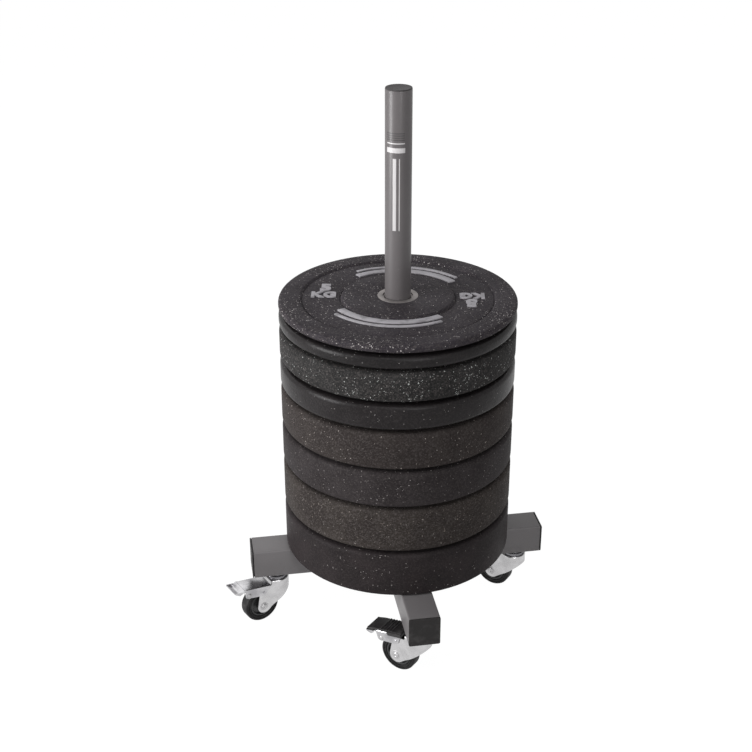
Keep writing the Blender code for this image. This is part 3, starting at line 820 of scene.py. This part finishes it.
def pressed_fork(braked):
    """The pressed fork: crown and legs of one bent sheet, cut to the legs' slanted outline."""
    shell = fork_form(0, 5 * MM, 78 * MM)
    cut(shell, fork_form(SHEET, 0, 90 * MM))
    shoulder = 81 * MM
    over = CROWN_TOP + MM
    before = -CROWN_RADIUS - 5 * MM
    outline = bow(TRAIL - 1.5 * MM, AXLE_Z, 15.5 * MM, -130, 4, 20)
    outline += bow(42 * MM, shoulder - 8 * MM, 8 * MM, 0, 90, 8)
    outline += bow(26 * MM, shoulder + 4 * MM, 4 * MM, 270, 180, 5)
    outline += [(22 * MM, over), (before, over), (before, 76 * MM)]
    cut(shell, sawn("side", outline, -40 * MM, 40 * MM), "INTERSECT")
    cut(shell, round_bar("hole", 8.2 * MM, 80 * MM, over, 40))
    cut(shell, round_bar("hole", 4.3 * MM, -30 * MM, 30 * MM, 32, (TRAIL, AXLE_Z), "Y"))
    if braked:
        cut(shell, round_bar("hole", 2.6 * MM, -30 * MM, 30 * MM, 24, (PIVOT.x, PIVOT.z), "Y"))
    return round_over(shell, 0.4 * MM, 2, 50)


def step_out(sign, *steps):
    """Carry an upright bar on from its end face, by (inset, rise) steps."""
    for by, rise in steps:
        if by > 0:
            inset(by)
        else:
            push()
            size = end_radius()
            widen((size - by) / size, (size - by) / size)
        push(z=sign * rise)


def end_radius():
    """The radius of the chosen end face."""
    mesh = bmesh.from_edit_mesh(bpy.context.object.data)
    chosen = [v.co for v in mesh.verts if v.select]
    return max(math.hypot(co.x, co.y) for co in chosen)


def swivel_race():
    """The stem, pressed race cup, kingpin and its riveted head, as one turned stack."""
    low = 96 * MM
    cup = round_bar("race", CROWN_RADIUS, low, 99.6 * MM, 72)
    pick("faces", facing(Z, 1))
    step_out(1, (3.6 * MM, 1.4 * MM), (-2.6 * MM, 4 * MM), (17.5 * MM, 16 * MM))
    pick("faces", lambda face: face.normal.z < -0.9 and middle(face).z < low + MM)
    step_out(-1, (3.6 * MM, low - CROWN_TOP - GAP), (CROWN_RADIUS - 11.1 * MM, 3.4 * MM),
             (-4 * MM, 4.6 * MM))
    soften(rings(Z, (0, 0), CROWN_RADIUS), 1.6 * MM, 4)
    soften(rings(Z, (0, 0), CROWN_RADIUS - MM), 1.2 * MM, 3)
    soften(lambda edge: rings(Z, (0, 0), 11.5 * MM)(edge) and middle(edge).z < 84 * MM,
           2.2 * MM, 3)
    soften(rings(Z, (0, 0), 6 * MM), 0.8 * MM, 2)
    return cup


def lock_nut():
    """The hexagon nut on the stem, inside the arm, with its corners turned off."""
    low = ARM_BOTTOM + 2.3 * MM
    nut = round_bar("nut", 9.2 * MM / math.cos(math.radians(30)), low, low + 9 * MM, 6)
    turned_to = 12.4 * MM
    crown = round_bar("crown", turned_to, low - MM, low + 10 * MM, 48)
    soften(rings(Z, (0, 0), turned_to), 3 * MM, 2)
    cut(nut, crown, "INTERSECT")
    cut(nut, round_bar("bore", 6.4 * MM, low - MM, low + 11 * MM, 40))
    return nut


def tyre():
    """The rubber tyre: a slightly crowned tread, round shoulders and a stepped side wall."""
    at = (TRAIL, AXLE_Z)
    around = (TRAIL, 0, AXLE_Z)
    ring = round_bar("tyre", TYRE_RADIUS, -11.5 * MM, 11.5 * MM, 96, at, "Y")
    for sign in (1, -1):
        pick("faces", facing(Y, sign))
        for by, rise in ((4.8, 0), (0.6, -1.5), (1.2, 0), (0.6, 0.9), (2.2, 0), (0.5, -1.2),
                         (0.9, 0)):
            inset(by * MM, rise * MM)
    pick("faces", round_end)
    bore_through()
    soften(rings(Y, around, TYRE_RADIUS), 3.4 * MM, 5)
    return ring


def wheel_core():
    """The wheel's moulded core: rim, dished web, and boss on the axle."""
    at = (TRAIL, AXLE_Z)
    around = (TRAIL, 0, AXLE_Z)
    rim, rim_width, boss, bore = 26 * MM, 3 * MM, 11 * MM, 4.4 * MM
    core = round_bar("core", rim, -10 * MM, 10 * MM, 72, at, "Y")
    for sign in (1, -1):
        pick("faces", facing(Y, sign))
        inset(rim_width)
        inset(1.5 * MM, -5 * MM)
        inset(9.5 * MM)
        inset(1 * MM, 9.8 * MM)
        inset(boss - bore)
    pick("faces", round_end)
    bore_through()
    soften(rings(Y, around, rim, rim - rim_width), 0.5 * MM, 2)
    soften(lambda edge: rings(Y, around, boss)(edge) and abs(middle(edge).y) > 14 * MM,
           0.6 * MM, 2)
    return core


def rivet(name, radius, head, grip, height, at, dimple=0.0):
    """A pin along Y through both walls, with domed heads."""
    pin = round_bar(name, radius, -grip, grip, 40, at, "Y")
    around = (at[0], 0, at[1])
    for sign in (1, -1):
        pick("faces", facing(Y, sign))
        push()
        widen(head / radius, 1, head / radius)
        push(y=sign * height)
        if dimple:
            inset(head - dimple)
            inset(dimple * 0.35, -height * 0.45)
    soften(lambda edge: rings(Y, around, head)(edge)
           and abs(middle(edge).y) > grip + height * 0.9, height * 0.8, 4)
    return pin


def pedal_form(shrink, low, back, start):
    """The pedal's channel as a solid block with rounded long edges."""
    side = PEDAL_SIDE - shrink
    form = block("channel", (back, -side, low), (start, side, PEDAL_TOP - shrink))
    long = along_x(9 * MM)
    soften(lambda edge: all(v.co.z > low + MM for v in edge.verts) and long(edge),
           2.4 * MM - shrink, 4)
    return only(form)


def pedal_plate():
    """The pressed pedal: a channel over the fork, with ears, and a foot pad with raised rims."""
    low = SHOE.z - 7 * MM
    back = -15 * MM
    start = 46 * MM
    sheet = 1.6 * MM
    shell = pedal_form(0, low, back, start)
    cut(shell, pedal_form(sheet, low - MM, back - MM, start + MM))
    outline = bow(0, 0, 7 * MM, 180, 270, 8)
    outline += bow(SHOE.x + 3 * MM, SHOE.z, 5.5 * MM, -90, -10, 8)
    outline += [(start - 2 * MM, PEDAL_TOP - 3 * MM), (start + 2 * MM, PEDAL_TOP + MM),
                (back - 2 * MM, PEDAL_TOP + MM), (back + 2 * MM, PEDAL_TOP - 6 * MM)]
    cut(shell, sawn("ears", outline, -30 * MM, 30 * MM), "INTERSECT")

    top = [(start - 3 * MM, PEDAL_TOP - 0.2 * MM), (start + 1.2 * MM, PEDAL_TOP - 0.9 * MM)]
    top += bow(start + 10.4 * MM, 11.3 * MM, 4 * MM, 210, 290, 6)
    top += [(68 * MM, 12 * MM)]
    pad = sawn("pad", top + [(x, z - PAD_SHEET) for x, z in reversed(top)],
               -PAD_SIDE, PAD_SIDE)
    soften(lambda edge: abs(edge.verts[0].co.y - edge.verts[1].co.y) < MM
           and all(v.co.x > 67.5 * MM for v in edge.verts), 2.5 * MM, 4)
    only(pad)
    cut(shell, pad, "UNION")
    rim = [(50 * MM, 11.2 * MM), (51 * MM, 7.6 * MM), (56 * MM, 6.2 * MM),
           (66.6 * MM, 10.4 * MM), (66.6 * MM, 11.7 * MM), (53 * MM, 12 * MM)]
    for side in (1, -1):
        cut(shell, sawn("rim", rim, *sorted((side * 19 * MM, side * PAD_SIDE))), "UNION")
        ends = sorted((side * 16 * MM, side * 21.6 * MM))
        cut(shell, round_bar("pivot", 2.3 * MM, *ends, 24, (0, 0), "Y"), "UNION")
    cut(shell, round_bar("hole", 2.8 * MM, -30 * MM, 30 * MM, 24, (SHOE.x, SHOE.z), "Y"))
    return round_over(shell, 0.3 * MM, 2, 50)


def brake_roller():
    """The brake's cross pin with its roller and riveted ends."""
    at = (SHOE.x, SHOE.z)
    pin = rivet("roller", 2.5 * MM, 4 * MM, PEDAL_SIDE + GAP, 1.5 * MM, at)
    cut(pin, round_bar("sleeve", 5.1 * MM, -12.5 * MM, 12.5 * MM, 40, at, "Y"), "UNION")
    return round_over(pin, 0.3 * MM, 2, 60)


def foot_grip():
    """The moulded grip on the pedal: ribs across its top, a skirt down the sides of the
    channel's inner half, and a tongue over the foot pad that turns up at its tip."""
    top = PEDAL_TOP + 4.4 * MM
    low = PEDAL_TOP - 4.5 * MM
    back = -16.3 * MM
    tip = 64.5 * MM
    outline = [(back, low), (49 * MM, low), (49.5 * MM, 12.6 * MM), (tip - 7 * MM, 12.6 * MM),
               (tip, 14.6 * MM)]
    outline += bow(tip - 1.6 * MM, 16.2 * MM, 1.6 * MM, 0, 100, 4)
    outline += [(60.5 * MM, 17.4 * MM), (46 * MM, top)]
    for i in range(5):
        outline += bow(31.6 * MM - i * 6.4 * MM, top - 0.2 * MM, 1.7 * MM, 10, 170, 8)
    outline += bow(back + 3 * MM, top - 3 * MM, 3 * MM, 90, 180, 4)
    cover = sawn("grip", outline, MM - PAD_SIDE, PAD_SIDE - MM)
    inside = PEDAL_SIDE + GAP
    side = [(back, low), (15 * MM, low), (17.5 * MM, top - 1.5 * MM),
            (back + 2 * MM, top - 1.5 * MM), (back, top - 3 * MM)]
    cut(cover, sawn("skirt", side, -inside - 2 * MM, inside + 2 * MM), "UNION")
    for start, high in ((-15.3 * MM, PEDAL_TOP + GAP), (back - MM, PEDAL_TOP - 2.5 * MM)):
        cut(cover, block("core", (start, -inside, low - MM), (49.5 * MM, inside, high)))
    return round_over(cover, 0.5 * MM, 2, 55)


def make_casters():
    """Each kind of piece once, and a copy of it on every caster that has it."""
    kinds = {
        "pressed_fork": (pressed_fork(False), ZINC, "swivel", "zinc_plate"),
        "braked_fork": (pressed_fork(True), ZINC, "swivel", "zinc_plate"),
        "swivel_race": (swivel_race(), RACE_STEEL_PAINTED_SHADE, "cart", "zinc_plate"),
        "lock_nut": (lock_nut(), BOLT_STEEL, "cart", "zinc_plate"),
        "tyre_ring": (tyre(), TREAD, "wheel", "tread_rubber"),
        "wheel_core": (wheel_core(), NYLON, "wheel", "wheel_nylon"),
        "axle_rivet": (rivet("axle", 4 * MM, 6 * MM, LEG_SIDE + GAP, 2.2 * MM,
                             (TRAIL, AXLE_Z), 2.6 * MM), PIN_STEEL, "swivel", "zinc_plate"),
        "pedal_plate": (pedal_plate(), PEDAL_STEEL_PAINTED_REFLECTION, "pedal", "zinc_plate"),
        "brake_roller": (brake_roller(), PIN_STEEL, "pedal", "zinc_plate"),
        "foot_grip": (foot_grip(), GRIP, "pedal", "black_plastic"),
    }
    nodes = {"pressed_fork": "fork", "braked_fork": "fork", "swivel_race": "caster_stem",
             "lock_nut": "stem_nut", "tyre_ring": "tyre", "wheel_core": "wheel_hub",
             "axle_rivet": "axle", "pedal_plate": "brake_pedal", "brake_roller": "brake_shoe",
             "foot_grip": "pedal_cover"}
    for side, (direction, heading, tilt, covered) in CASTERS.items():
        seat = Matrix.Translation(POST + away(math.radians(direction), SWIVEL_REACH))
        swivel = seat @ turned(heading)
        parts = ["swivel_race", "lock_nut", "tyre_ring", "wheel_core", "axle_rivet"]
        if tilt is None:
            parts.append("pressed_fork")
        else:
            parts += ["braked_fork", "pedal_plate", "brake_roller"]
            pedal = swivel @ Matrix.Translation(PIVOT) @ turned(-tilt, "Y")
        if covered:
            parts.append("foot_grip")
        for kind in parts:
            pattern, paint, body, slot = kinds[kind]
            place = {"cart": seat, "swivel": swivel, "wheel": swivel}.get(body)
            if body == "pedal":
                place = pedal
            copy = another(pattern, f"{side}_{kind}", place)
            dress(copy, paint, body if body == "cart" else f"{side}_{body}",
                  [f"{side}_{nodes[kind]}"], slot)
    for pattern, *_ in kinds.values():
        bpy.data.objects.remove(pattern)


make_casters()


# The stage, the light and the camera

def stage():
    """A white floor that keeps a soft shadow and that metal half sees, and a pale room."""
    only()
    bpy.ops.mesh.primitive_plane_add(size=60, location=(0, 0, 0))
    floor = settle(bpy.context.object, "floor")
    recipe = Recipe("floor_card", "#c8c8c8", 0.9, Specular_IOR_Level=0.1)
    glow = recipe.add("Emission", None, {"Color": (1, 1, 1, 1), "Strength": 1.16}, "Emission")
    seen = 0.0
    for ray, share in (("Camera", 0.84), ("Transmission", 0.84), ("Glossy", 0.6)):
        seen = (recipe.add("LightPath", out=f"Is {ray} Ray") * share).most(seen)
    card = Wire(recipe, recipe.shader.outputs[0])
    mixed = recipe.add("MixShader", None, [seen, card, glow])
    recipe.tree.links.new(mixed.socket, recipe.tree.nodes["Material Output"].inputs["Surface"])
    floor.data.materials.append(recipe.material)

    world = bpy.data.worlds.new("room")
    bpy.context.scene.world = world
    world.use_nodes = True
    tree = world.node_tree
    back = tree.nodes["Background"]
    back.inputs["Color"].default_value = (1, 1, 1, 1)
    path = tree.nodes.new("ShaderNodeLightPath").outputs

    def sum_of(operation, first, second):
        node = tree.nodes.new("ShaderNodeMath")
        node.operation = operation
        for socket, value in zip(node.inputs, (first, second)):
            if isinstance(value, float):
                socket.default_value = value
            else:
                tree.links.new(value, socket)
        return node.outputs[0]

    plain = sum_of("MAXIMUM", path["Is Camera Ray"], path["Is Transmission Ray"])
    metal = sum_of("MULTIPLY", path["Is Glossy Ray"], 0.65)
    level = tree.nodes.new("ShaderNodeMapRange")
    level.inputs["To Min"].default_value = 0.25
    level.inputs["To Max"].default_value = 1.0
    tree.links.new(sum_of("MAXIMUM", metal, plain), level.inputs["Value"])
    tree.links.new(level.outputs["Result"], back.inputs["Strength"])


def softbox(name, place, aim, size, power):
    """A large soft lamp that looks at a point."""
    lamp = bpy.data.lights.new(name, "AREA")
    lamp.shape = "RECTANGLE"
    lamp.size, lamp.size_y = size
    lamp.energy = power
    holder = bpy.data.objects.new(name, lamp)
    bpy.context.collection.objects.link(holder)
    holder.location = place
    holder.rotation_euler = (Vector(aim) - Vector(place)).to_track_quat("-Z", "Y").to_euler()


def camera():
    """The photograph's viewpoint: ahead and a little to the left, looking down at the stack."""
    lens = bpy.data.cameras.new("camera")
    lens.sensor_width = 36
    lens.lens = 63.48
    lens.clip_end = 60
    holder = bpy.data.objects.new("camera", lens)
    bpy.context.collection.objects.link(holder)
    heading, pitch, roll = FACING, 0.4588, -0.0033
    ahead = Vector((-math.sin(heading) * math.cos(pitch), math.cos(heading) * math.cos(pitch),
                    -math.sin(pitch)))
    right = Vector((math.cos(heading), math.sin(heading), 0))
    up = right.cross(ahead)
    right, up = (right * math.cos(roll) + up * math.sin(roll),
                 up * math.cos(roll) - right * math.sin(roll))
    turn = Matrix((right, up, -ahead)).transposed().to_4x4()
    place = (-0.38069, -2.2647, 1.65918)
    holder.matrix_world = Matrix.Translation(place) @ turn
    bpy.context.scene.camera = holder


stage()
softbox("key", (-3.0, -0.7, 1.35), (0, 0, 0.45), (1.3, 2.3), 103)
softbox("front", (0.55, -3.2, 1.9), (0, 0, 0.45), (0.7, 1.8), 25)
softbox("high", (-0.5, -1.8, 3.3), (0, 0, 0.5), (1.4, 0.9), 11)
softbox("top", (-0.8, 1.9, 2.6), (0, 0, 0.5), (3.6, 2.6), 17)
camera()
bpy.context.scene.view_settings.view_transform = "Standard"
